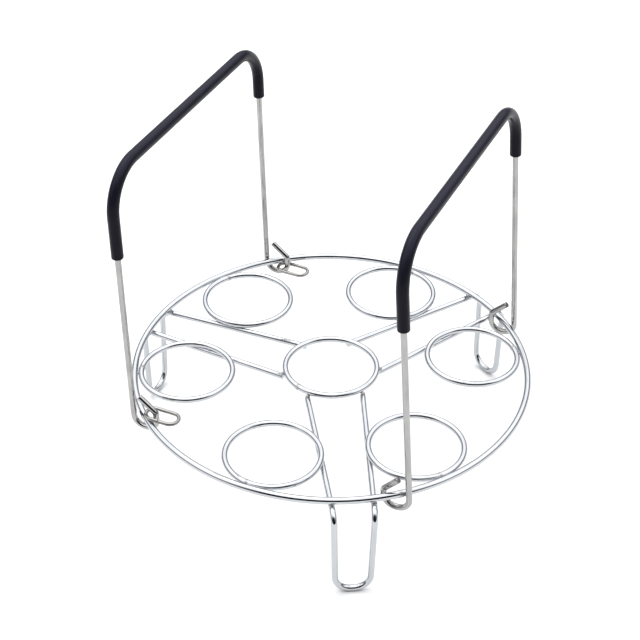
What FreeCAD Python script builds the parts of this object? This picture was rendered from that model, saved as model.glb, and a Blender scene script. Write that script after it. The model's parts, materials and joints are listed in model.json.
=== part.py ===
import FreeCAD, Part

import math
import os

# A round wire rack for steaming eggs in a pot.
# A hoop, a centre ring and six egg rings lie on three hairpin legs.
# Two bail handles with soft grips hook under the hoop and swing on it.
# +Z is up, the origin is on the floor under the middle of the rack,
# and the two handles stand on the -X and +X sides.

os.makedirs("parts", exist_ok=True)
doc = FreeCAD.newDocument("EggSteamerRack")
Vector = FreeCAD.Vector

SIZES = [
    ("hoop_radius", 100.0, "centre line radius of the hoop"),
    ("hoop_wire", 3.6, "hoop wire diameter"),
    ("hoop_height", 51.0, "floor to the hoop's centre line"),
    ("ring_wire", 3.2, "wire diameter of the centre ring and the egg rings"),
    ("centre_ring_radius", 23.4, "centre line radius of the centre ring"),
    ("egg_ring_radius", 23.1, "centre line radius of an egg ring"),
    ("egg_ring_pitch", 73.45, "rack centre to egg ring centre"),
    ("egg_ring_turn", 28.0, "angle from a leg to each egg ring beside it"),
    ("leg_wire", 3.2, "leg wire diameter"),
    ("contact_gap", 0.02, "gap left where two wires touch before welding"),
    ("spoke_start", 24.8, "rack centre to the cut end of a leg wire"),
    ("spoke_half_gap_in", 14.0, "half the gap between a leg's spokes at the centre ring"),
    ("spoke_half_gap_out", 10.1, "half the gap between a leg's spokes at the hoop"),
    ("foot_half_width", 8.4, "half the width of a foot"),
    ("foot_bend", 7.8, "bend radius at each side of a foot"),
    ("leg_reach", 107.5, "rack centre to the upright part of the front and rear legs"),
    ("leg_reach_left", 104.0, "rack centre to the upright part of the left leg"),
    ("leg_bend", 6.0, "bend radius between spoke and upright"),
    ("handle_wire", 3.1, "handle wire diameter"),
    ("handle_half_width", 74.5, "half the distance between a handle's two hooks"),
    ("handle_half_width_top", 73.3, "half the distance between its legs at the top bar"),
    ("handle_rise", 133.0, "hinge line to the middle of the handle's top bar"),
    ("handle_corner", 21.0, "bend radius of the handle's top corners"),
    ("left_lean", -1.7, "inward lean of the left handle as it stands"),
    ("right_lean", 4.3, "inward lean of the right handle as it stands"),
    ("hook_out", 6.2, "hinge line to the handle leg outside the hoop"),
    ("hook_in", 6.5, "hinge line to the hook's upright inside the hoop"),
    ("hook_drop", 6.7, "hinge line to the bottom of the hook"),
    ("hook_bend", 5.9, "bend radius under the hoop"),
    ("hook_top", 3.9, "hinge line up to where the hook turns outward"),
    ("tail_bend", 2.6, "bend radius where the hook turns outward"),
    ("tail_out", 8.7, "outward run of the hook's tail"),
    ("tail_up", 7.2, "rise of the hook's tail"),
    ("hook_drop_low", 7.5, "same drop on the right handle's front hook, which is bent lower"),
    ("hook_top_low", 1.8, "same height on that hook"),
    ("tail_out_low", 7.8, "outward run of that hook's tail"),
    ("tail_up_low", 7.4, "rise of that hook's tail"),
    ("grip_diameter", 5.9, "outside diameter of a grip sleeve"),
    ("grip_fit", 0.02, "radial gap between grip sleeve and handle wire"),
    ("grip_end_front_left", 90.8, "hinge line up to the front end of the left grip"),
    ("grip_end_front_right", 94.0, "hinge line up to the front end of the right grip"),
    ("grip_end_rear", 102.0, "hinge line up to the rear end of a grip"),
    ("link_wire", 2.0, "wire diameter of a keeper link"),
    ("link_length", 19.2, "outside length of a keeper link"),
    ("link_half_width", 4.2, "centre line half width of a keeper link"),
    ("link_reach", 3.38, "hinge line to the near end of a keeper link"),
    ("link_lift_front", 3.1, "height of the front keeper link above the hinge line"),
    ("link_lift_rear", -3.15, "height of the rear keeper link above the hinge line"),
    ("link_seam", 0.35, "gap between the cut ends of a keeper link"),
    ("weld_width", 1.7, "half width of a weld nugget"),
    ("weld_height", 1.1, "half height of a weld nugget"),
    ("seam_collar", 0.15, "how far a butt weld stands out from its wire"),
    ("seam_length", 0.9, "half length of a butt weld along its wire"),
]

LEG_ANGLES = {"leg_front": 300.0, "leg_left": 180.0, "leg_rear": 60.0}
# Angle of each butt weld, counted round its ring from the +X direction.
SEAM_ANGLES = {
    "egg_ring_1": 42.0,
    "egg_ring_2": 80.0,
    "egg_ring_3": 144.0,
    "egg_ring_4": 200.0,
    "egg_ring_5": 264.0,
    "egg_ring_6": 320.0,
    "centre_ring": 250.0,
    "outer_hoop": 313.0,
}

sheet = doc.addObject("Spreadsheet::Sheet", "Sizes")
for row, (alias, value, note) in enumerate(SIZES, start=1):
    sheet.set("A%d" % row, note)
    sheet.set("B%d" % row, str(value))
    sheet.setAlias("B%d" % row, alias)
doc.recompute()
size = {alias: float(sheet.get(alias)) for alias, value, note in SIZES}

spoke_height = size["hoop_height"] - size["hoop_wire"] / 2 - size["leg_wire"] / 2 - size["contact_gap"]
ring_height = spoke_height + size["leg_wire"] / 2 + size["ring_wire"] / 2 + size["contact_gap"]
weld_level = size["hoop_height"] - size["hoop_wire"] / 2
# The hoop crosses a handle's hook plane here, so each handle swings about this line.
hinge_x = math.sqrt(size["hoop_radius"] ** 2 - size["handle_half_width"] ** 2)

pieces = []


def polar(radius, degrees, height=0.0):
    """A point at this distance and angle from the rack's centre line."""
    angle = math.radians(degrees)
    return Vector(radius * math.cos(angle), radius * math.sin(angle), height)


def rounded_path(corners, bends):
    """Straight runs between the corners, with a tangent arc of the given radius at each inner corner."""
    edges = []
    start = corners[0]
    for before, corner, after, bend in zip(corners, corners[1:], corners[2:], bends):
        back = (before - corner).normalize()
        ahead = (after - corner).normalize()
        half = back.getAngle(ahead) / 2
        enter = corner + back * (bend / math.tan(half))
        leave = corner + ahead * (bend / math.tan(half))
        middle = corner + (back + ahead).normalize() * (bend / math.sin(half) - bend)
        if enter.distanceToPoint(start) > 1e-4:
            edges.append(Part.makeLine(start, enter))
        edges.append(Part.Arc(enter, middle, leave).toShape())
        start = leave
    if corners[-1].distanceToPoint(start) > 1e-4:
        edges.append(Part.makeLine(start, corners[-1]))
    return Part.Wire(edges)


def bent_rod(name, path_shape, radius_expression):
    """A round rod swept along a path, its section's radius bound to the sheet."""
    path = doc.addObject("Part::Feature", name + "_path")
    path.Shape = path_shape
    first = path_shape.Edges[0]
    section = doc.addObject("Part::Circle", name + "_section")
    section.setExpression("Radius", radius_expression)
    section.Placement = FreeCAD.Placement(
        first.valueAt(first.FirstParameter),
        FreeCAD.Rotation(Vector(0, 0, 1), first.tangentAt(first.FirstParameter)),
    )
    rod = doc.addObject("Part::Sweep", name)
    rod.Sections = [section]
    rod.Spine = (path, ["Edge%d" % (n + 1) for n in range(len(path_shape.Edges))])
    rod.Solid = True
    rod.Frenet = False
    return rod


def keep(piece, label):
    """Mark an object as one finished piece, exported under this label."""
    piece.Label = label
    pieces.append(piece)
    return piece


def wire_ring(label, radius_alias, wire_alias, centre):
    """A closed ring of round wire lying flat."""
    ring = doc.addObject("Part::Torus", label)
    ring.setExpression("Radius1", "Sizes." + radius_alias)
    ring.setExpression("Radius2", "Sizes.%s / 2" % wire_alias)
    ring.Placement.Base = centre
    return keep(ring, label)


def nugget(name, centre, turn=0.0):
    """One weld nugget, a flat lump of metal between two crossing wires."""
    lump = doc.addObject("Part::Ellipsoid", name)
    lump.setExpression("Radius1", "Sizes.weld_height")
    lump.setExpression("Radius2", "Sizes.weld_width")
    lump.setExpression("Radius3", "Sizes.weld_width")
    lump.Placement = FreeCAD.Placement(centre, FreeCAD.Rotation(Vector(0, 0, 1), turn))
    return lump


def butt_weld(name, wire_alias, centre, along):
    """A low collar of weld metal round a wire at the joint of its two ends."""
    collar = doc.addObject("Part::Ellipsoid", name)
    collar.setExpression("Radius1", "Sizes.seam_length")
    collar.setExpression("Radius2", "Sizes.%s / 2 + Sizes.seam_collar" % wire_alias)
    collar.setExpression("Radius3", "Sizes.%s / 2 + Sizes.seam_collar" % wire_alias)
    collar.Placement = FreeCAD.Placement(centre, FreeCAD.Rotation(Vector(0, 0, 1), along))
    return collar


def weld_group(label, lumps):
    """All welds of one kind, kept together as one piece."""
    group = doc.addObject("Part::Compound", label)
    group.Links = lumps
    return keep(group, label)


# Hoop and rings.
hoop_centre = Vector(0, 0, size["hoop_height"])
wire_ring("outer_hoop", "hoop_radius", "hoop_wire", hoop_centre)
centre_ring_middle = Vector(0, 0, ring_height)
wire_ring("centre_ring", "centre_ring_radius", "ring_wire", centre_ring_middle)

egg_ring_centres = {}
ring_sides = [(60.0, -1), (60.0, 1), (180.0, -1), (180.0, 1), (300.0, -1), (300.0, 1)]
for number, (leg_angle, side) in enumerate(ring_sides, start=1):
    label = "egg_ring_%d" % number
    angle = leg_angle + side * size["egg_ring_turn"]
    egg_ring_centres[label] = polar(size["egg_ring_pitch"], angle, ring_height)
    wire_ring(label, "egg_ring_radius", "ring_wire", egg_ring_centres[label])


# Hairpin legs. Each starts under the centre ring, runs out as a spoke, turns down
# outside the hoop, goes round the foot and comes back the same way.
def spoke_half_gap(radial):
    """Half the gap between a leg's two spokes at this distance out from the rack's centre."""
    run = size["hoop_radius"] - size["centre_ring_radius"]
    narrowing = (size["spoke_half_gap_in"] - size["spoke_half_gap_out"]) / run
    return size["spoke_half_gap_in"] - narrowing * (radial - size["centre_ring_radius"] + 4.5)


def leg_path(reach):
    """The centre line of one leg wire, for a leg that points along +X."""
    end_radial = math.sqrt(size["spoke_start"] ** 2 - size["spoke_half_gap_in"] ** 2)
    shoulder_gap = spoke_half_gap(reach)
    floor_gap = size["foot_half_width"]
    half = [
        Vector(end_radial, spoke_half_gap(end_radial), spoke_height),
        Vector(reach, shoulder_gap, spoke_height),
        Vector(reach, floor_gap, size["leg_wire"] / 2),
    ]
    mirrored = [Vector(p.x, -p.y, p.z) for p in reversed(half)]
    bends = [size["leg_bend"], size["foot_bend"], size["foot_bend"], size["leg_bend"]]
    return rounded_path(half + mirrored, bends)


for label, angle in LEG_ANGLES.items():
    path = leg_path(size["leg_reach_left"] if label == "leg_left" else size["leg_reach"])
    path.rotate(Vector(0, 0, 0), Vector(0, 0, 1), angle)
    keep(bent_rod(label, path, "Sizes.leg_wire / 2"), label)


# Handles. Each is drawn about its hinge line, then stood on the hoop.
def handle_point(side, out, along, up):
    """A point given from the hinge line: outward from the rack, along the hinge, and up the handle."""
    lean = math.radians(size["right_lean"] if side > 0 else size["left_lean"])
    leaned_out = out * math.cos(lean) - up * math.sin(lean)
    leaned_up = out * math.sin(lean) + up * math.cos(lean)
    return Vector(side * (hinge_x + leaned_out), along, size["hoop_height"] + leaned_up)


def leg_along(up):
    """Half the distance between a handle's two straight legs at this height up the handle."""
    taper = size["handle_half_width"] - size["handle_half_width_top"]
    share = (up + size["hook_drop"]) / (size["handle_rise"] + size["hook_drop"])
    return size["handle_half_width"] - taper * share


def hook_outline(side, end):
    """One hook from its tail to the foot of the handle, outward and up from the hinge line."""
    low = "_low" if (side, end) == (1, -1) else ""
    hook_top = size["hook_top" + low]
    hook_bottom = -size["hook_drop" + low]
    return [
        (size["tail_out" + low] - size["hook_in"], hook_top + size["tail_up" + low]),
        (-size["hook_in"], hook_top),
        (-size["hook_in"], hook_bottom),
        (size["hook_out"], hook_bottom),
    ]


def handle_wire_path(side):
    """Centre line from one hook's tail, over the handle, to the other hook's tail."""
    ends = {}
    for end in (-1, 1):
        hook = hook_outline(side, end)
        ends[end] = [handle_point(side, out, end * size["handle_half_width"], up) for out, up in hook]
        rise = size["handle_rise"]
        ends[end].append(handle_point(side, size["hook_out"], end * leg_along(rise), rise))
    half_bends = [size["tail_bend"], size["hook_bend"], size["hook_bend"], size["handle_corner"]]
    return rounded_path(ends[-1] + ends[1][::-1], half_bends + half_bends[::-1])


def grip_path(side):
    """Centre line of the grip sleeve, over the handle's top bar and both corners."""
    front_end = size["grip_end_front_right"] if side > 0 else size["grip_end_front_left"]
    corners = [
        (-1, front_end),
        (-1, size["handle_rise"]),
        (1, size["handle_rise"]),
        (1, size["grip_end_rear"]),
    ]
    points = [handle_point(side, size["hook_out"], end * leg_along(up), up) for end, up in corners]
    return rounded_path(points, [size["handle_corner"], size["handle_corner"]])


for name, side in (("left", -1), ("right", 1)):
    label = name + "_handle_wire"
    keep(bent_rod(label, handle_wire_path(side), "Sizes.handle_wire / 2"), label)
    outer = bent_rod(name + "_grip_outer", grip_path(side), "Sizes.grip_diameter / 2")
    bore = bent_rod(name + "_grip_bore", grip_path(side), "Sizes.handle_wire / 2 + Sizes.grip_fit")
    grip = doc.addObject("Part::Cut", name + "_grip")
    grip.Base = outer
    grip.Tool = bore
    keep(grip, name + "_grip")


# Keeper links. Each is a loose oval loop threaded on one left-hand hook, pointing in
# over the rack. The front one lies just above the hoop and the rear one just below it.
def link_path(end, lift):
    """Centre line of one oval link, open by a narrow seam in its outer straight side."""
    near = math.sqrt(size["link_reach"] ** 2 - lift ** 2)
    far = near + size["link_length"] - size["link_wire"]
    half = size["link_half_width"]
    middle = (near + far) / 2
    seam = size["link_seam"] / 2
    outline = [
        (middle - seam, end * half),
        (near, end * half),
        (near, -end * half),
        (far, -end * half),
        (far, end * half),
        (middle + seam, end * half),
    ]
    hook = Vector(-hinge_x, end * size["handle_half_width"], size["hoop_height"] + lift)
    points = [hook + Vector(inward, across, 0) for inward, across in outline]
    return rounded_path(points, [half - 0.02] * 4)


for label, end, lift in (
    ("keeper_link_front", -1, size["link_lift_front"]),
    ("keeper_link_rear", 1, size["link_lift_rear"]),
):
    keep(bent_rod(label, link_path(end, lift), "Sizes.link_wire / 2"), label)


# Welds.
hoop_leg_welds = []
centre_ring_welds = []
egg_ring_leg_welds = []
egg_ring_hoop_welds = []
for leg_angle in LEG_ANGLES.values():
    outward = polar(1.0, leg_angle)
    across = polar(1.0, leg_angle + 90.0)
    for side in (-1, 1):
        tag = "_%d_%s" % (leg_angle, "a" if side < 0 else "b")
        for radius, name, group in (
            (size["hoop_radius"], "hoop_leg_weld", hoop_leg_welds),
            (size["centre_ring_radius"] + 1.2, "centre_ring_weld", centre_ring_welds),
        ):
            radial = radius
            for attempt in range(4):
                radial = math.sqrt(radius ** 2 - spoke_half_gap(radial) ** 2)
            spot = outward * radial + across * (side * spoke_half_gap(radial))
            spot.z = weld_level
            group.append(nugget(name + tag, spot, leg_angle))

        ring_angle = leg_angle + side * size["egg_ring_turn"]
        centre = polar(size["egg_ring_pitch"], ring_angle)
        start = outward * 40.0 + across * (side * spoke_half_gap(40.0))
        finish = outward * 90.0 + across * (side * spoke_half_gap(90.0))
        run = (finish - start).normalize()
        spot = start + run * (centre - start).dot(run)
        spot.z = weld_level
        egg_ring_leg_welds.append(nugget("egg_ring_leg_weld" + tag, spot, leg_angle))

        touch = polar(size["hoop_radius"] - size["hoop_wire"] / 2, ring_angle, ring_height)
        egg_ring_hoop_welds.append(nugget("egg_ring_hoop_weld" + tag, touch, ring_angle))

weld_group("hoop_leg_welds", hoop_leg_welds)
weld_group("centre_ring_welds", centre_ring_welds)
weld_group("egg_ring_leg_welds", egg_ring_leg_welds)
weld_group("egg_ring_hoop_welds", egg_ring_hoop_welds)

seams = []
for label, angle in SEAM_ANGLES.items():
    if label == "outer_hoop":
        centre, radius, wire = hoop_centre, size["hoop_radius"], "hoop_wire"
    elif label == "centre_ring":
        centre, radius, wire = centre_ring_middle, size["centre_ring_radius"], "ring_wire"
    else:
        centre, radius, wire = egg_ring_centres[label], size["egg_ring_radius"], "ring_wire"
    spot = centre + polar(radius, angle)
    seams.append(butt_weld("seam_" + label, wire, spot, polar(1.0, angle + 90.0)))
weld_group("butt_seam_welds", seams)

doc.recompute()

for item in doc.Objects:
    if "Invalid" in item.State or "Error" in item.State:
        raise RuntimeError("%s did not build: %s" % (item.Name, item.State))
for piece in pieces:
    shape = piece.Shape
    if shape.isNull() or not shape.isValid() or not shape.Solids:
        raise RuntimeError("%s has no valid solid" % piece.Label)
    if min(solid.Volume for solid in shape.Solids) <= 0:
        raise RuntimeError("%s is inside out" % piece.Label)
    shape.exportStep("parts/%s.step" % piece.Label)
    print("%-22s %d solid(s) %9.1f mm3" % (piece.Label, len(shape.Solids), shape.Volume))
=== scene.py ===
import json
import math

import bmesh
import bpy
from mathutils import Matrix, Vector, noise

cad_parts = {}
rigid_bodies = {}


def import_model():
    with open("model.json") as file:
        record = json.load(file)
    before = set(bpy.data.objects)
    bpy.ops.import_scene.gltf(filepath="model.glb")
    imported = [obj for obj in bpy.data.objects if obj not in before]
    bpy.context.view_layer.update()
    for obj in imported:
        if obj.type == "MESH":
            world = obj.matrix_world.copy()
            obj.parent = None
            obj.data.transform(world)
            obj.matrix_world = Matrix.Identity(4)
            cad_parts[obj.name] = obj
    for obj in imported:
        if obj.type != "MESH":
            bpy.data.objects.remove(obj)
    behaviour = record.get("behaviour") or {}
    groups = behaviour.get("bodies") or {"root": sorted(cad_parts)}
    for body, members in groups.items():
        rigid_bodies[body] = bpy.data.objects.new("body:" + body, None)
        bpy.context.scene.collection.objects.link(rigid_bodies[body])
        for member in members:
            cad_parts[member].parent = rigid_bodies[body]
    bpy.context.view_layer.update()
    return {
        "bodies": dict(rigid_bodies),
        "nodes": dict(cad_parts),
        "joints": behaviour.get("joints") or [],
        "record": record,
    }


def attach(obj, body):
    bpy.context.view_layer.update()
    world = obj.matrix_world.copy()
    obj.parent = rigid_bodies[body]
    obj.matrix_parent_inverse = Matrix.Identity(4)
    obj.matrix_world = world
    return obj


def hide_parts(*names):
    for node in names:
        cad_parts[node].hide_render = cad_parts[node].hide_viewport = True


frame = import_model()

# An egg steamer rack of bent and welded wire, with two swinging bail handles.
# Metres, +Z up, the origin on the floor under the middle of the rack.
# Every wire is swept again here as a fine tube, with cut ends, weld beads and
# heat marks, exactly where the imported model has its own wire.

MM = 0.001

HOOP_RADIUS = 100.0 * MM
HOOP_WIRE = 3.6 * MM
HOOP_HEIGHT = 51.0 * MM
RING_WIRE = 3.2 * MM
CENTRE_RING_RADIUS = 23.4 * MM
EGG_RING_RADIUS = 23.1 * MM
EGG_RING_PITCH = 73.45 * MM
EGG_RING_TURN = 28.0
LEG_WIRE = 3.2 * MM
CONTACT_GAP = 0.02 * MM
SPOKE_START = 24.8 * MM
SPOKE_HALF_GAP_IN = 14.0 * MM
SPOKE_HALF_GAP_OUT = 10.1 * MM
SPOKE_GAP_SHIFT = 4.5 * MM
FOOT_HALF_WIDTH = 8.4 * MM
FOOT_BEND = 7.8 * MM
LEG_REACH = {"leg_front": 107.5 * MM, "leg_left": 104.0 * MM, "leg_rear": 107.5 * MM}
LEG_BEND = 6.0 * MM
HANDLE_WIRE = 3.1 * MM
HANDLE_HALF_WIDTH = 74.5 * MM
HANDLE_HALF_WIDTH_TOP = 73.3 * MM
HANDLE_RISE = 133.0 * MM
HANDLE_CORNER = 21.0 * MM
LEFT_LEAN = -1.7
RIGHT_LEAN = 4.3
HOOK_OUT = 6.2 * MM
HOOK_IN = 6.5 * MM
HOOK_BEND = 5.9 * MM
TAIL_BEND = 2.6 * MM
HOOK = {"drop": 6.7 * MM, "top": 3.9 * MM, "tail_out": 8.7 * MM, "tail_up": 7.2 * MM}
# The right handle's front hook is bent lower than the other three.
LOW_HOOK = {"drop": 7.5 * MM, "top": 1.8 * MM, "tail_out": 7.8 * MM, "tail_up": 7.4 * MM}
GRIP_DIAMETER = 5.9 * MM
GRIP_FIT = 0.02 * MM
GRIP_EDGE = 0.45 * MM
GRIP_END_FRONT = {-1: 90.8 * MM, 1: 94.0 * MM}
GRIP_END_REAR = 102.0 * MM
LINK_WIRE = 2.0 * MM
LINK_LENGTH = 19.2 * MM
LINK_HALF_WIDTH = 4.2 * MM
LINK_REACH = 3.38 * MM
LINK_LIFT = {"front": 3.1 * MM, "rear": -3.15 * MM}
LINK_SEAM = 0.35 * MM
CENTRE_WELD_OFFSET = 1.2 * MM

LEG_ANGLES = {"leg_front": 300.0, "leg_left": 180.0, "leg_rear": 60.0}
SEAM_ANGLES = {
    "egg_ring_1": 42.0,
    "egg_ring_2": 80.0,
    "egg_ring_3": 144.0,
    "egg_ring_4": 200.0,
    "egg_ring_5": 264.0,
    "egg_ring_6": 320.0,
    "centre_ring": 250.0,
    "outer_hoop": 313.0,
}

SPOKE_HEIGHT = HOOP_HEIGHT - HOOP_WIRE / 2 - LEG_WIRE / 2 - CONTACT_GAP
RING_HEIGHT = SPOKE_HEIGHT + LEG_WIRE / 2 + RING_WIRE / 2 + CONTACT_GAP
WELD_LEVEL = HOOP_HEIGHT - HOOP_WIRE / 2
HINGE_X = math.sqrt(HOOP_RADIUS ** 2 - HANDLE_HALF_WIDTH ** 2)

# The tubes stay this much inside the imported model's own surfaces.
SKIN = 0.03 * MM
ROUTE_STEP = 1.5 * MM
WIRE_SIDES = 28
HEAT_REACH = 2.6 * MM
HEAT_LIMIT = 12 * MM


# ---------------------------------------------------------------- routes and meshes

def polar(radius, degrees, height=0.0):
    angle = math.radians(degrees)
    return Vector((radius * math.cos(angle), radius * math.sin(angle), height))


def straight(start, finish, step):
    """Points from start up to but not including finish."""
    count = max(1, round((finish - start).length / step))
    return [start.lerp(finish, i / count) for i in range(count)]


def rounded_route(corners, bends, step=ROUTE_STEP):
    """Points along straight runs joined by tangent arcs, one bend radius per inner corner."""
    arc_step = math.radians(5)
    closest = 0.02 * MM
    points = []
    here = corners[0]
    for before, corner, after, bend in zip(corners, corners[1:], corners[2:], bends):
        back = (before - corner).normalized()
        ahead = (after - corner).normalized()
        half = back.angle(ahead) / 2
        reach = bend / math.tan(half)
        enter = corner + back * reach
        middle = corner + (back + ahead).normalized() * (bend / math.sin(half))
        swing = math.pi - 2 * half
        points += straight(here, enter, step)
        count = max(6, round(swing / arc_step))
        axis = (enter - middle).cross(corner - middle).normalized()
        for i in range(count):
            points.append(middle + Matrix.Rotation(swing * i / count, 3, axis) @ (enter - middle))
        here = corner + ahead * reach
    points += straight(here, corners[-1], step)
    points.append(corners[-1].copy())
    clean = [points[0]]
    for point in points[1:]:
        if (point - clean[-1]).length > closest:
            clean.append(point)
    return clean


def ring_route(centre, radius, start_degrees, count):
    """Points round a level circle."""
    return [centre + polar(radius, start_degrees + 360.0 * i / count) for i in range(count)]


def frames_along(points, closed):
    """A steady pair of cross directions at every point of a route, with no twist."""
    count = len(points)
    tangents = []
    for i in range(count):
        if closed:
            before, after = points[i - 1], points[(i + 1) % count]
        else:
            before, after = points[max(i - 1, 0)], points[min(i + 1, count - 1)]
        tangents.append((after - before).normalized())
    up = Vector((0, 0, 1))
    if abs(tangents[0].dot(up)) > 0.9:
        up = Vector((0, 1, 0))
    normal = (up - tangents[0] * up.dot(tangents[0])).normalized()
    frames = []
    for i in range(count):
        if i:
            normal = tangents[i - 1].rotation_difference(tangents[i]) @ normal
            normal = (normal - tangents[i] * normal.dot(tangents[i])).normalized()
        frames.append((normal.copy(), tangents[i].cross(normal)))
    return tangents, frames


def distances_along(points):
    lengths = [0.0]
    for before, after in zip(points, points[1:]):
        lengths.append(lengths[-1] + (after - before).length)
    return lengths


def stitch(start, next_start, sides):
    """The quads between two rows of vertices."""
    quads = []
    for k in range(sides):
        n = (k + 1) % sides
        quads.append((start + k, start + n, next_start + n, next_start + k))
    return quads


def tube(name, points, radius, shape, closed=False, sides=WIRE_SIDES, end_round=0.0):
    """A wire swept along a route, where shape(along, turn) scales its radius at each vertex."""
    tangents, frames = frames_along(points, closed)
    lengths = distances_along(points)
    total = lengths[-1] + ((points[0] - points[-1]).length if closed else 0.0)
    rows = [(point, frame, along, 1.0) for point, frame, along in zip(points, frames, lengths)]
    if not closed:
        rows = rounded_ends(rows, tangents, radius, end_round)
    verts = []
    for point, (normal, across), along, share in rows:
        for k in range(sides):
            turn = 2 * math.pi * k / sides
            r = radius * share * shape(along, turn)
            verts.append(point + (normal * math.cos(turn) + across * math.sin(turn)) * r)
    faces = []
    spans = len(rows) if closed else len(rows) - 1
    for i in range(spans):
        faces += stitch(i * sides, ((i + 1) % len(rows)) * sides, sides)
    if not closed:
        faces.append(tuple(range(sides - 1, -1, -1)))
        faces.append(tuple(range((len(rows) - 1) * sides, len(rows) * sides)))
    mesh = bpy.data.meshes.new(name)
    mesh.from_pydata([tuple(v) for v in verts], [], faces)
    layer = mesh.uv_layers.new(name="along")
    for face in mesh.polygons:
        for loop in face.loop_indices:
            row, k = divmod(mesh.loops[loop].vertex_index, sides)
            on_side = face.index < spans * sides
            wraps_round = on_side and k == 0 and face.index % sides == sides - 1
            wraps_along = on_side and closed and row == 0 and face.index >= (spans - 1) * sides
            layer.data[loop].uv = (1.0 if wraps_round else k / sides, total if wraps_along else rows[row][2])
    mesh.validate()
    mesh.update()
    return mesh


def rounded_ends(rows, tangents, radius, size):
    """The rows of an open wire, with a small rounded edge at both cut ends."""
    first, last = rows[0], rows[-1]
    steps = 5
    start, finish = [], []
    for i in range(steps + 1):
        angle = math.pi / 2 * i / steps
        share = (radius - size + size * math.sin(angle)) / radius
        depth = size * (1 - math.cos(angle))
        start.append((first[0] + tangents[0] * depth, first[1], first[2] + depth, share))
        finish.append((last[0] - tangents[-1] * depth, last[1], last[2] - depth, share))
    inner = [row for row in rows[1:-1] if size < row[2] < last[2] - size]
    return start + inner + finish[::-1]


def sleeve(name, points, outer, bore, edge, sides=32):
    """A soft tube with a real bore and rounded lips at both ends."""
    tangents, frames = frames_along(points, False)
    lengths = distances_along(points)
    total = lengths[-1]
    last = len(points) - 1
    steps = 6
    lip = 0.12 * MM
    clear_of_edge = edge * 1.2
    clear_of_lip = 1 * MM
    opening = [(0, lip, bore), (0, 0.0, bore + lip)]
    for i in range(steps + 1):
        angle = math.pi / 2 * i / steps
        opening.append((0, edge * (1 - math.cos(angle)), outer - edge * (1 - math.sin(angle))))
    ending = [(last, -depth, r) for _, depth, r in opening[::-1]]
    skin = [(i, 0.0, outer) for i in range(1, last) if clear_of_edge < lengths[i] < total - clear_of_edge]
    inside = range(last - 1, 0, -1)
    inner = [(i, 0.0, bore) for i in inside if clear_of_lip < lengths[i] < total - clear_of_lip]
    ring_rows = opening + skin + ending + inner
    verts, along = [], []
    for index, depth, r in ring_rows:
        centre = points[index] + tangents[index] * depth
        normal, across = frames[index]
        along.append(lengths[index] + depth)
        for k in range(sides):
            turn = 2 * math.pi * k / sides
            verts.append(centre + (normal * math.cos(turn) + across * math.sin(turn)) * r)
    faces = []
    for i in range(len(ring_rows)):
        faces += stitch(i * sides, ((i + 1) % len(ring_rows)) * sides, sides)
    mesh = bpy.data.meshes.new(name)
    mesh.from_pydata([tuple(v) for v in verts], [], faces)
    layer = mesh.uv_layers.new(name="along")
    for face in mesh.polygons:
        for loop in face.loop_indices:
            row, k = divmod(mesh.loops[loop].vertex_index, sides)
            u = 1.0 if k == 0 and face.index % sides == sides - 1 else k / sides
            layer.data[loop].uv = (u, along[row])
    mesh.update()
    return mesh


def bead_mesh(name, beads):
    """Weld beads as lumpy drops. Each bead is its centre, its turn in degrees and its half sizes."""
    work = bmesh.new()
    for number, (centre, turn, half) in enumerate(beads):
        ball = bmesh.ops.create_icosphere(work, subdivisions=4, radius=1.0)
        rotation = Matrix.Rotation(math.radians(turn), 3, "Z")
        for vert in ball["verts"]:
            direction = vert.co.copy()
            lump = noise.noise(direction * 1.7 + Vector((number * 3.1, 0, 0)))
            fine = noise.noise(direction * 5.0 + Vector((0, number * 2.3, 0)))
            share = 0.90 + 0.07 * lump + 0.025 * fine
            local = Vector((direction.x * half[0], direction.y * half[1], direction.z * half[2]))
            vert.co = centre + rotation @ (local * min(share, 0.995))
    mesh = bpy.data.meshes.new(name)
    work.to_mesh(mesh)
    work.free()
    return mesh


def seam_mesh(name, seams):
    """Butt welds: a thin uneven flash ridge round the wire where its two ends were pushed together."""
    verts, faces = [], []
    sides, rows = WIRE_SIDES, 13
    reach = 0.9 * MM
    sunk = 0.01 * MM
    flash = 0.13 * MM
    for number, (centre, ring_radius, wire, degrees) in enumerate(seams):
        start = len(verts)
        for i in range(rows):
            share = -1 + 2 * i / (rows - 1)
            angle = degrees + math.degrees(share * reach / ring_radius)
            point = centre + polar(ring_radius, angle)
            out = polar(1.0, angle)
            ridge = (1 - share ** 2) * (0.55 + 0.45 * math.cos(share * math.pi * 2))
            for k in range(sides):
                turn = 2 * math.pi * k / sides
                spot = Vector((math.cos(turn) * 1.6, math.sin(turn) * 1.6, number * 4.7))
                r = wire / 2 - sunk + flash * ridge * (0.72 + 0.25 * noise.noise(spot))
                verts.append(point + out * (r * math.cos(turn)) + Vector((0, 0, r * math.sin(turn))))
        for i in range(rows - 1):
            faces += stitch(start + i * sides, start + (i + 1) * sides, sides)
        faces.append(tuple(start + k for k in range(sides)))
        faces.append(tuple(start + (rows - 1) * sides + k for k in range(sides - 1, -1, -1)))
    mesh = bpy.data.meshes.new(name)
    mesh.from_pydata([tuple(v) for v in verts], [], faces)
    mesh.update()
    return mesh


def fix_normals(mesh):
    """Turns every face outward."""
    work = bmesh.new()
    work.from_mesh(mesh)
    bmesh.ops.recalc_face_normals(work, faces=work.faces)
    work.to_mesh(mesh)
    work.free()


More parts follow.
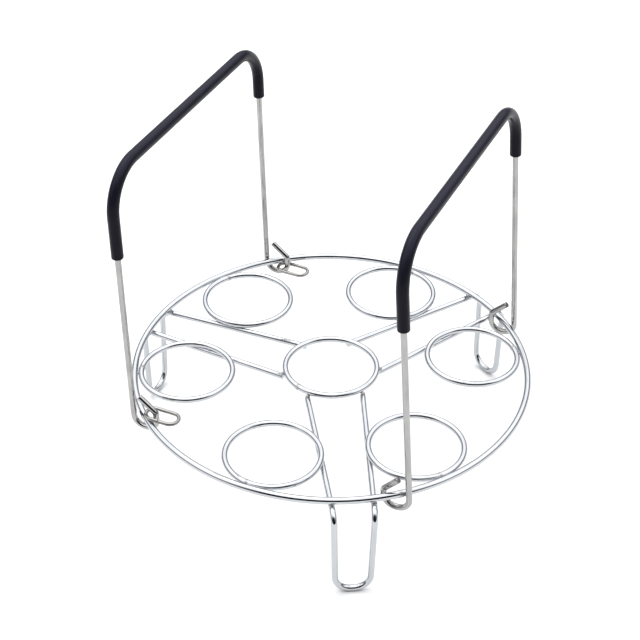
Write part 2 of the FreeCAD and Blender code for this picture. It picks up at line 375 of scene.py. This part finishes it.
def add_piece(name, mesh, material, body, nodes, heat_spots=()):
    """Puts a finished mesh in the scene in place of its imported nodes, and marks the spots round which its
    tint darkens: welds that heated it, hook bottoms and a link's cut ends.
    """
    fix_normals(mesh)
    heat = mesh.attributes.new("heat", "FLOAT", "POINT")
    values = []
    for vert in mesh.vertices:
        near = min(((vert.co - spot).length for spot in heat_spots), default=1.0)
        values.append(math.exp(-((near / HEAT_REACH) ** 2)) if near < HEAT_LIMIT else 0.0)
    heat.data.foreach_set("value", values)
    mesh.materials.append(material)
    piece = bpy.data.objects.new(name, mesh)
    bpy.context.scene.collection.objects.link(piece)
    mesh.shade_smooth()
    mesh.set_sharp_from_angle(angle=math.radians(40.0))
    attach(piece, body)
    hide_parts(*nodes)
    return piece


# ---------------------------------------------------------------- where each wire runs

def spoke_half_gap(radial):
    """Half the gap between a leg's two spokes, this far from the rack centre."""
    run = HOOP_RADIUS - CENTRE_RING_RADIUS
    narrowing = (SPOKE_HALF_GAP_IN - SPOKE_HALF_GAP_OUT) / run
    return SPOKE_HALF_GAP_IN - narrowing * (radial - CENTRE_RING_RADIUS + SPOKE_GAP_SHIFT)


def leg_route(label):
    """One leg wire: in along a spoke, down to the foot, and back up to the other spoke."""
    reach = LEG_REACH[label]
    end_radial = math.sqrt(SPOKE_START ** 2 - SPOKE_HALF_GAP_IN ** 2)
    half = [
        Vector((end_radial, spoke_half_gap(end_radial), SPOKE_HEIGHT)),
        Vector((reach, spoke_half_gap(reach), SPOKE_HEIGHT)),
        Vector((reach, FOOT_HALF_WIDTH, LEG_WIRE / 2)),
    ]
    mirrored = [Vector((p.x, -p.y, p.z)) for p in reversed(half)]
    turn = Matrix.Rotation(math.radians(LEG_ANGLES[label]), 3, "Z")
    corners = [turn @ p for p in half + mirrored]
    return rounded_route(corners, [LEG_BEND, FOOT_BEND, FOOT_BEND, LEG_BEND])


def handle_point(side, out, along, up):
    """A point outward, along and up from a handle's hinge line, with the lean that the handle stands at."""
    lean = math.radians(RIGHT_LEAN if side > 0 else LEFT_LEAN)
    leaned_out = out * math.cos(lean) - up * math.sin(lean)
    leaned_up = out * math.sin(lean) + up * math.cos(lean)
    return Vector((side * (HINGE_X + leaned_out), along, HOOP_HEIGHT + leaned_up))


def leg_along(up):
    """Half the distance between a handle's two straight legs, this far up the handle."""
    share = (up + HOOK["drop"]) / (HANDLE_RISE + HOOK["drop"])
    return HANDLE_HALF_WIDTH - (HANDLE_HALF_WIDTH - HANDLE_HALF_WIDTH_TOP) * share


def hook_outline(side, end):
    """One hook from its tail to the foot of the handle, outward and up from the hinge line."""
    hook = LOW_HOOK if (side, end) == (1, -1) else HOOK
    return [
        (hook["tail_out"] - HOOK_IN, hook["top"] + hook["tail_up"]),
        (-HOOK_IN, hook["top"]),
        (-HOOK_IN, -hook["drop"]),
        (HOOK_OUT, -hook["drop"]),
    ]


def handle_route(side):
    """From one hook's tail, over the handle, to the other hook's tail."""
    ends = {}
    for end in (-1, 1):
        hook = hook_outline(side, end)
        ends[end] = [handle_point(side, out, end * HANDLE_HALF_WIDTH, up) for out, up in hook]
        ends[end].append(handle_point(side, HOOK_OUT, end * leg_along(HANDLE_RISE), HANDLE_RISE))
    half_bends = [TAIL_BEND, HOOK_BEND, HOOK_BEND, HANDLE_CORNER]
    return rounded_route(ends[-1] + ends[1][::-1], half_bends + half_bends[::-1])


def grip_route(side):
    """Along the top bar and round both corners of a handle."""
    corners = [(-1, GRIP_END_FRONT[side]), (-1, HANDLE_RISE), (1, HANDLE_RISE), (1, GRIP_END_REAR)]
    points = [handle_point(side, HOOK_OUT, end * leg_along(up), up) for end, up in corners]
    return rounded_route(points, [HANDLE_CORNER, HANDLE_CORNER])


def link_route(end, lift):
    """A level oval round a left hook's upright, open by a hair at the middle of one side."""
    near = math.sqrt(LINK_REACH ** 2 - lift ** 2)
    far = near + LINK_LENGTH - LINK_WIRE
    half = LINK_HALF_WIDTH
    middle = (near + far) / 2
    outline = [
        (middle - LINK_SEAM / 2, end * half),
        (near, end * half),
        (near, -end * half),
        (far, -end * half),
        (far, end * half),
        (middle + LINK_SEAM / 2, end * half),
    ]
    hook = Vector((-HINGE_X, end * HANDLE_HALF_WIDTH, HOOP_HEIGHT + lift))
    points = [hook + Vector((inward, across, 0)) for inward, across in outline]
    return rounded_route(points, [half - 0.02 * MM] * 4, 1.0 * MM)


# ---------------------------------------------------------------- weld spots

hoop_leg_spots, centre_spots, ring_leg_spots, ring_hoop_spots = [], [], [], []
for leg_angle in LEG_ANGLES.values():
    outward = polar(1.0, leg_angle)
    across = polar(1.0, leg_angle + 90.0)
    for side in (-1, 1):
        for radius, spots in (
            (HOOP_RADIUS, hoop_leg_spots),
            (CENTRE_RING_RADIUS + CENTRE_WELD_OFFSET, centre_spots),
        ):
            radial = radius
            for _ in range(4):
                radial = math.sqrt(radius ** 2 - spoke_half_gap(radial) ** 2)
            spot = outward * radial + across * (side * spoke_half_gap(radial))
            spot.z = WELD_LEVEL
            spots.append((spot, leg_angle))
        ring_angle = leg_angle + side * EGG_RING_TURN
        centre = polar(EGG_RING_PITCH, ring_angle)
        start, finish = [
            outward * radial + across * (side * spoke_half_gap(radial)) for radial in (40 * MM, 90 * MM)
        ]
        run = (finish - start).normalized()
        spot = start + run * (centre - start).dot(run)
        spot.z = WELD_LEVEL
        ring_leg_spots.append((spot, leg_angle))
        ring_hoop_spots.append((polar(HOOP_RADIUS - HOOP_WIRE / 2, ring_angle, RING_HEIGHT), ring_angle))

ring_angles = [angle + side * EGG_RING_TURN for angle in sorted(LEG_ANGLES.values()) for side in (-1, 1)]
ring_centres = {}
for number, angle in enumerate(ring_angles, start=1):
    ring_centres["egg_ring_%d" % number] = polar(EGG_RING_PITCH, angle, RING_HEIGHT)

seams = []
for label, angle in SEAM_ANGLES.items():
    if label == "outer_hoop":
        seams.append((Vector((0, 0, HOOP_HEIGHT)), HOOP_RADIUS, HOOP_WIRE, angle))
    elif label == "centre_ring":
        seams.append((Vector((0, 0, RING_HEIGHT)), CENTRE_RING_RADIUS, RING_WIRE, angle))
    else:
        seams.append((ring_centres[label], EGG_RING_RADIUS, RING_WIRE, angle))
seam_spots = [centre + polar(radius, angle) for centre, radius, _, angle in seams]
weld_spots = [spot for spot, _ in hoop_leg_spots + centre_spots + ring_leg_spots + ring_hoop_spots]


# ---------------------------------------------------------------- materials

def new_material(name):
    material = bpy.data.materials.new(name)
    material.use_nodes = True
    nodes, links = material.node_tree.nodes, material.node_tree.links
    shader = nodes["Principled BSDF"]
    return material, nodes, links, shader


def math_node(nodes, links, operation, a, b=None):
    node = nodes.new("ShaderNodeMath")
    node.operation = operation
    for socket, value in ((node.inputs[0], a), (node.inputs[1], b)):
        if value is None:
            continue
        if isinstance(value, (int, float)):
            socket.default_value = value
        else:
            links.new(value, socket)
    return node.outputs[0]


def wire_coordinates(nodes, links, around, along):
    """Coordinates wrapped round a wire: seamless round its girth, stretched along its length."""
    uv = nodes.new("ShaderNodeUVMap")
    uv.uv_map = "along"
    split = nodes.new("ShaderNodeSeparateXYZ")
    links.new(uv.outputs["UV"], split.inputs[0])
    turn = math_node(nodes, links, "MULTIPLY", split.outputs["X"], 2 * math.pi)
    join = nodes.new("ShaderNodeCombineXYZ")
    for socket, function in (("X", "COSINE"), ("Y", "SINE")):
        value = math_node(nodes, links, function, turn)
        links.new(math_node(nodes, links, "MULTIPLY", value, around), join.inputs[socket])
    links.new(math_node(nodes, links, "MULTIPLY", split.outputs["Y"], along), join.inputs["Z"])
    return join.outputs[0]


def noise_node(nodes, links, vector, scale, detail=3.0, rough=0.5):
    node = nodes.new("ShaderNodeTexNoise")
    node.inputs["Scale"].default_value = scale
    node.inputs["Detail"].default_value = detail
    node.inputs["Roughness"].default_value = rough
    links.new(vector, node.inputs["Vector"])
    return node.outputs["Fac"]


def ramp_node(nodes, links, value, stops):
    node = nodes.new("ShaderNodeValToRGB")
    ramp = node.color_ramp
    ramp.elements[0].position, ramp.elements[0].color = stops[0][0], (*stops[0][1], 1)
    ramp.elements[1].position, ramp.elements[1].color = stops[-1][0], (*stops[-1][1], 1)
    for position, colour in stops[1:-1]:
        ramp.elements.new(position).color = (*colour, 1)
    links.new(value, node.inputs["Fac"])
    return node.outputs["Color"]


def mix_colour(nodes, links, share, a, b, blend="MIX"):
    node = nodes.new("ShaderNodeMix")
    node.data_type = "RGBA"
    node.blend_type = blend
    for socket, value in ((node.inputs[0], share), (node.inputs[6], a), (node.inputs[7], b)):
        if isinstance(value, (int, float)):
            socket.default_value = value
        elif isinstance(value, tuple):
            socket.default_value = (*value, 1)
        else:
            links.new(value, socket)
    return node.outputs[2]


def map_range(nodes, links, value, low, high, to_low, to_high):
    node = nodes.new("ShaderNodeMapRange")
    for socket, number in zip(("From Min", "From Max", "To Min", "To Max"), (low, high, to_low, to_high)):
        node.inputs[socket].default_value = number
    links.new(value, node.inputs["Value"])
    return node.outputs["Result"]


def bump_node(nodes, links, height, strength, distance, normal=None):
    node = nodes.new("ShaderNodeBump")
    node.inputs["Strength"].default_value = strength
    node.inputs["Distance"].default_value = distance
    links.new(height, node.inputs["Height"])
    if normal is not None:
        links.new(normal, node.inputs["Normal"])
    return node.outputs["Normal"]


def heat_value(nodes):
    node = nodes.new("ShaderNodeAttribute")
    node.attribute_name = "heat"
    return node.outputs["Fac"]


def steel_wire(name, colour, tone, rough, streak, tint, tint_colour=(0.42, 0.34, 0.26)):
    """Drawn steel wire: fine die lines along it, faint tone changes, scuffs, and heat tint by the welds."""
    material, nodes, links, shader = new_material(name)
    shader.inputs["Metallic"].default_value = 1.0
    lines = noise_node(nodes, links, wire_coordinates(nodes, links, 3.0, 55.0), 5.0, 4.0, 0.6)
    patches = noise_node(nodes, links, wire_coordinates(nodes, links, 0.5, 90.0), 1.0, 2.0, 0.5)
    scuffs = noise_node(nodes, links, wire_coordinates(nodes, links, 1.6, 900.0), 1.0, 5.0, 0.7)
    base = mix_colour(nodes, links, map_range(nodes, links, patches, 0.3, 0.7, 0.0, 1.0), colour, tone)
    in_lines = map_range(nodes, links, lines, 0.62, 0.72, 0.0, streak)
    base = mix_colour(nodes, links, in_lines, base, tuple(0.6 * c for c in tone))
    heat = heat_value(nodes)
    uneven = map_range(nodes, links, scuffs, 0.3, 0.7, 0.7, 1.25)
    tinted = ramp_node(
        nodes,
        links,
        math_node(nodes, links, "MULTIPLY", heat, uneven),
        [
            (0.0, (1, 1, 1)),
            (0.25, (0.93, 0.86, 0.74)),
            (0.6, tuple(c * 1.3 for c in tint_colour)),
            (1.0, (0.20, 0.18, 0.19)),
        ],
    )
    base = mix_colour(nodes, links, tint, base, tinted, "MULTIPLY")
    links.new(base, shader.inputs["Base Color"])
    drawn = map_range(nodes, links, lines, 0.3, 0.7, rough[0], rough[1])
    scuffed = map_range(nodes, links, scuffs, 0.60, 0.75, 0.0, 0.12)
    roughness = math_node(nodes, links, "ADD", drawn, scuffed)
    roughness = math_node(nodes, links, "ADD", roughness, math_node(nodes, links, "MULTIPLY", heat, 0.22))
    links.new(roughness, shader.inputs["Roughness"])
    normal = bump_node(nodes, links, patches, 0.35, 0.06 * MM)
    normal = bump_node(nodes, links, lines, 0.30, 0.012 * MM, normal)
    links.new(normal, shader.inputs["Normal"])
    return material


def weld_metal(name, shade):
    """Weld metal: dull, pitted, greyed by heat where it was not polished back."""
    material, nodes, links, shader = new_material(name)
    shader.inputs["Metallic"].default_value = 1.0
    coords = nodes.new("ShaderNodeTexCoord").outputs["Object"]
    coarse = noise_node(nodes, links, coords, 900.0, 3.0, 0.6)
    fine = noise_node(nodes, links, coords, 4200.0, 3.0, 0.6)
    greys = ((0.25, 0.30), (0.45, 0.55), (0.6, 0.80), (0.8, 0.98))
    colour = ramp_node(nodes, links, coarse, [(place, (grey * shade,) * 3) for place, grey in greys])
    links.new(colour, shader.inputs["Base Color"])
    links.new(map_range(nodes, links, coarse, 0.3, 0.7, 0.46, 0.24), shader.inputs["Roughness"])
    normal = bump_node(nodes, links, coarse, 0.5, 0.10 * MM)
    links.new(bump_node(nodes, links, fine, 0.5, 0.02 * MM, normal), shader.inputs["Normal"])
    return material


def silicone():
    """Black silicone tube: semi-matt, with faint extrusion lines and a painted sheen that lightens it where
    it faces up.
    """
    material, nodes, links, shader = new_material("grip_silicone")
    lines = noise_node(nodes, links, wire_coordinates(nodes, links, 3.2, 14.0), 6.0, 3.0, 0.55)
    blotches = noise_node(nodes, links, wire_coordinates(nodes, links, 0.8, 70.0), 1.0, 3.0, 0.55)
    grain = noise_node(nodes, links, wire_coordinates(nodes, links, 12.0, 4000.0), 1.0, 2.0, 0.5)
    handled = map_range(nodes, links, blotches, 0.3, 0.7, 0.0, 1.0)
    colour = mix_colour(nodes, links, handled, (0.0030, 0.0028, 0.0052), (0.0050, 0.0047, 0.0085))
    # Painted sheen: the colour is lightened where the surface faces up, as if lit from above, unevenly with
    # the blotches.
    facing_up = nodes.new("ShaderNodeSeparateXYZ")
    links.new(nodes.new("ShaderNodeTexCoord").outputs["Normal"], facing_up.inputs[0])
    painted_sheen_mask = map_range(nodes, links, facing_up.outputs["Z"], 0.15, 0.85, 0.0, 1.0)
    patchy = map_range(nodes, links, blotches, 0.3, 0.7, 0.7, 1.0)
    painted_sheen = math_node(nodes, links, "MULTIPLY", painted_sheen_mask, patchy)
    colour = mix_colour(nodes, links, painted_sheen, colour, (0.0155, 0.0150, 0.0265))
    specks = map_range(nodes, links, grain, 0.66, 0.78, 0.0, 0.35)
    colour = mix_colour(nodes, links, specks, colour, (0.030, 0.030, 0.042))
    links.new(colour, shader.inputs["Base Color"])
    worn = map_range(nodes, links, blotches, 0.3, 0.7, 0.24, 0.34)
    extruded = map_range(nodes, links, lines, 0.3, 0.7, -0.03, 0.05)
    links.new(math_node(nodes, links, "ADD", worn, extruded), shader.inputs["Roughness"])
    shader.inputs["Specular IOR Level"].default_value = 0.13
    shader.inputs["Specular Tint"].default_value = (0.80, 0.80, 1.0, 1.0)
    normal = bump_node(nodes, links, lines, 0.35, 0.02 * MM)
    links.new(bump_node(nodes, links, grain, 0.5, 0.012 * MM, normal), shader.inputs["Normal"])
    return material


rack_steel = steel_wire(
    "rack_polished_steel",
    colour=(0.515, 0.53, 0.55),
    tone=(0.475, 0.49, 0.51),
    rough=(0.045, 0.10),
    streak=0.35,
    tint=0.85,
)
handle_steel = steel_wire(
    "handle_satin_steel",
    colour=(0.405, 0.40, 0.397),
    tone=(0.32, 0.315, 0.31),
    rough=(0.07, 0.15),
    streak=0.6,
    tint=0.75,
    tint_colour=(0.50, 0.41, 0.33),
)
link_steel = steel_wire(
    "link_bright_steel",
    colour=(0.35, 0.342, 0.334),
    tone=(0.24, 0.232, 0.22),
    rough=(0.05, 0.12),
    streak=0.6,
    tint=0.9,
)
weld_steel = weld_metal("weld_metal", 0.55)
seam_steel = weld_metal("seam_metal", 0.62)
black_silicone = silicone()


# ---------------------------------------------------------------- pieces

def uneven_wire(seed, amount=0.006):
    """A drawn wire is never quite round: it thins by a few microns here and there."""
    def shape(along, turn):
        spot = Vector((math.cos(turn) * 0.6 + seed, math.sin(turn) * 0.6, along * 60))
        return 1 - amount * (0.5 + 0.5 * noise.noise(spot))
    return shape


rings = [("outer_hoop", Vector((0, 0, HOOP_HEIGHT)), HOOP_RADIUS, HOOP_WIRE, 400)]
rings.append(("centre_ring", Vector((0, 0, RING_HEIGHT)), CENTRE_RING_RADIUS, RING_WIRE, 144))
for label, centre in ring_centres.items():
    rings.append((label, centre, EGG_RING_RADIUS, RING_WIRE, 144))
for number, (label, centre, radius, wire, count) in enumerate(rings):
    route = ring_route(centre, radius, SEAM_ANGLES[label], count)
    mesh = tube(label + "_wire", route, wire / 2 - SKIN, uneven_wire(number * 2.7), closed=True)
    add_piece(label + "_wire", mesh, rack_steel, "rack", [label], weld_spots + seam_spots)

for number, label in enumerate(LEG_ANGLES):
    shape = uneven_wire(30 + number * 2.3)
    mesh = tube(label + "_wire", leg_route(label), LEG_WIRE / 2 - SKIN, shape, end_round=0.25 * MM)
    add_piece(label + "_wire", mesh, rack_steel, "rack", [label], weld_spots)

for name, side in (("left", -1), ("right", 1)):
    body = name + "_handle"
    shape = uneven_wire(50 + side, 0.004)
    mesh = tube(name + "_bail", handle_route(side), HANDLE_WIRE / 2 - SKIN, shape, end_round=0.22 * MM)
    # The hook bottoms take the same brown tint and darkening as the weld heat marks, though nothing is welded
    # there.
    hook_spots = [handle_point(side, 0.0, end * HANDLE_HALF_WIDTH, -HOOK["drop"]) for end in (-1, 1)]
    add_piece(name + "_bail", mesh, handle_steel, body, [name + "_handle_wire"], hook_spots)
    outer = GRIP_DIAMETER / 2 - SKIN
    bore = HANDLE_WIRE / 2 + GRIP_FIT
    mesh = sleeve(name + "_grip_sleeve", grip_route(side), outer, bore, GRIP_EDGE)
    add_piece(name + "_grip_sleeve", mesh, black_silicone, body, [name + "_grip"])

for where, end in (("front", -1), ("rear", 1)):
    route = link_route(end, LINK_LIFT[where])
    shape = uneven_wire(70 + end, 0.01)
    mesh = tube(where + "_link", route, LINK_WIRE / 2 - SKIN, shape, sides=24, end_round=0.15 * MM)
    body = where + "_keeper_link"
    cut_ends = [route[0], route[-1]]
    add_piece(where + "_link", mesh, link_steel, body, ["keeper_link_" + where], cut_ends)

# The beads are ground back, so each is a little smaller than the lump it stands for.
for label, spots, outward, half in (
    ("hoop_leg_weld", hoop_leg_spots, 0.0, (1.45, 1.45, 1.0)),
    ("centre_ring_weld", centre_spots, 0.65, (1.05, 1.3, 0.95)),
    ("egg_ring_leg_weld", ring_leg_spots, 0.0, (1.3, 1.3, 0.9)),
    ("egg_ring_hoop_weld", ring_hoop_spots, 0.0, (1.3, 1.3, 0.9)),
):
    beads = [(spot + polar(outward * MM, turn), turn, [size * MM for size in half]) for spot, turn in spots]
    mesh = bead_mesh(label + "_beads", beads)
    add_piece(label + "_beads", mesh, weld_steel, "rack", [label + "s"])
mesh = seam_mesh("butt_seam_beads", seams)
add_piece("butt_seam_beads", mesh, seam_steel, "rack", ["butt_seam_welds"])


# ---------------------------------------------------------------- floor, light, camera

# The camera stands off the front right corner, well above the handles, and looks down on the rack.
# Its lens and sensor are in mm, as Blender takes them.
CAMERA_DISTANCE = 809.26 * MM
CAMERA_AIM_HEIGHT = 50.7 * MM
CAMERA_ELEVATION = math.radians(38.237)
CAMERA_SWING = math.radians(-23.619)
CAMERA_YAW = math.radians(0.43091)
CAMERA_PITCH = math.radians(1.69002)
CAMERA_ROLL = math.radians(-0.953)
CAMERA_LENS = 88.9706
CAMERA_SENSOR = 36
FLOOR_RADIUS = 12


def turned(first, second, angle):
    """Two square directions, both turned by an angle from the first toward the second."""
    return (
        first * math.cos(angle) + second * math.sin(angle),
        second * math.cos(angle) - first * math.sin(angle),
    )


level = Vector((math.sin(CAMERA_SWING), math.cos(CAMERA_SWING), 0))
right = Vector((math.cos(CAMERA_SWING), -math.sin(CAMERA_SWING), 0))
ahead, up = turned(level, Vector((0, 0, 1)), -CAMERA_ELEVATION)
place = Vector((0, 0, CAMERA_AIM_HEIGHT)) - ahead * CAMERA_DISTANCE
ahead, up = turned(ahead, up, CAMERA_PITCH)
right, ahead = turned(right, ahead, CAMERA_YAW)
up, right = turned(up, right, CAMERA_ROLL)

camera_data = bpy.data.cameras.new("camera")
camera_data.lens = CAMERA_LENS
camera_data.sensor_width = CAMERA_SENSOR
camera_data.clip_start, camera_data.clip_end = 0.01, 50
camera = bpy.data.objects.new("camera", camera_data)
camera.matrix_world = Matrix.Translation(place) @ Matrix((right, up, -ahead)).transposed().to_4x4()
bpy.context.scene.collection.objects.link(camera)
bpy.context.scene.camera = camera

floor_mesh = bpy.data.meshes.new("floor")
floor_rim = ring_route(Vector((0, 0, 0)), FLOOR_RADIUS, 0.0, 64)
floor_mesh.from_pydata(floor_rim, [], [tuple(range(64))])
floor = bpy.data.objects.new("floor", floor_mesh)
bpy.context.scene.collection.objects.link(floor)
floor_material, nodes, links, shader = new_material("floor_white")
coords = nodes.new("ShaderNodeTexCoord").outputs["Object"]
cloud = noise_node(nodes, links, coords, 3.0, 2.0, 0.5)
paint = ramp_node(nodes, links, cloud, [(0.3, (0.90, 0.90, 0.90)), (0.7, (0.93, 0.93, 0.93))])
links.new(paint, shader.inputs["Base Color"])
shader.inputs["Roughness"].default_value = 0.9
shader.inputs["Specular IOR Level"].default_value = 0.1
floor_mesh.materials.append(floor_material)

world = bpy.data.worlds.new("studio")
bpy.context.scene.world = world
world.use_nodes = True
nodes, links = world.node_tree.nodes, world.node_tree.links
background = nodes["Background"]
direction = nodes.new("ShaderNodeTexCoord").outputs["Generated"]
split = nodes.new("ShaderNodeSeparateXYZ")
links.new(direction, split.inputs[0])
flat = nodes.new("ShaderNodeVectorMath")
flat.operation = "MULTIPLY"
links.new(direction, flat.inputs[0])
flat.inputs[1].default_value = (1, 1, 0)
bearing = nodes.new("ShaderNodeVectorMath")
bearing.operation = "NORMALIZE"
links.new(flat.outputs["Vector"], bearing.inputs[0])
toward = nodes.new("ShaderNodeVectorMath")
toward.operation = "DOT_PRODUCT"
links.new(bearing.outputs["Vector"], toward.inputs[0])
toward.inputs[1].default_value = (0.40, -0.916, 0.0)
# A white overhead dome above a grey room, with one dark doorway low down in front of the rack.
facing = map_range(nodes, links, toward.outputs["Value"], 0.42, 0.80, 0.0, 1.0)
around_stops = [
    (0.05, (0.10, 0.104, 0.114)),
    (0.36, (0.23, 0.234, 0.25)),
    (0.56, (0.92, 0.92, 0.94)),
    (0.70, (1, 1, 1)),
]
around = ramp_node(nodes, links, split.outputs["Z"], around_stops)
doorway = ramp_node(nodes, links, split.outputs["Z"], [(0.72, (0.008, 0.008, 0.010)), (0.88, (1, 1, 1))])
sky = mix_colour(nodes, links, facing, around, doorway)
links.new(sky, background.inputs["Color"])
background.inputs["Strength"].default_value = 2.05

key_data = bpy.data.lights.new("key", "AREA")
key_data.shape = "DISK"
key_data.size = 1.2
key_data.energy = 6
key = bpy.data.objects.new("key", key_data)
key.location = (-0.5, 0.3, 1.7)
key.rotation_mode = "QUATERNION"
key.rotation_quaternion = (Vector((0, 0, 0.08)) - key.location).to_track_quat("-Z", "Y")
bpy.context.scene.collection.objects.link(key)

bpy.context.scene.view_settings.view_transform = "Standard"
bpy.context.scene.view_settings.look = "None"
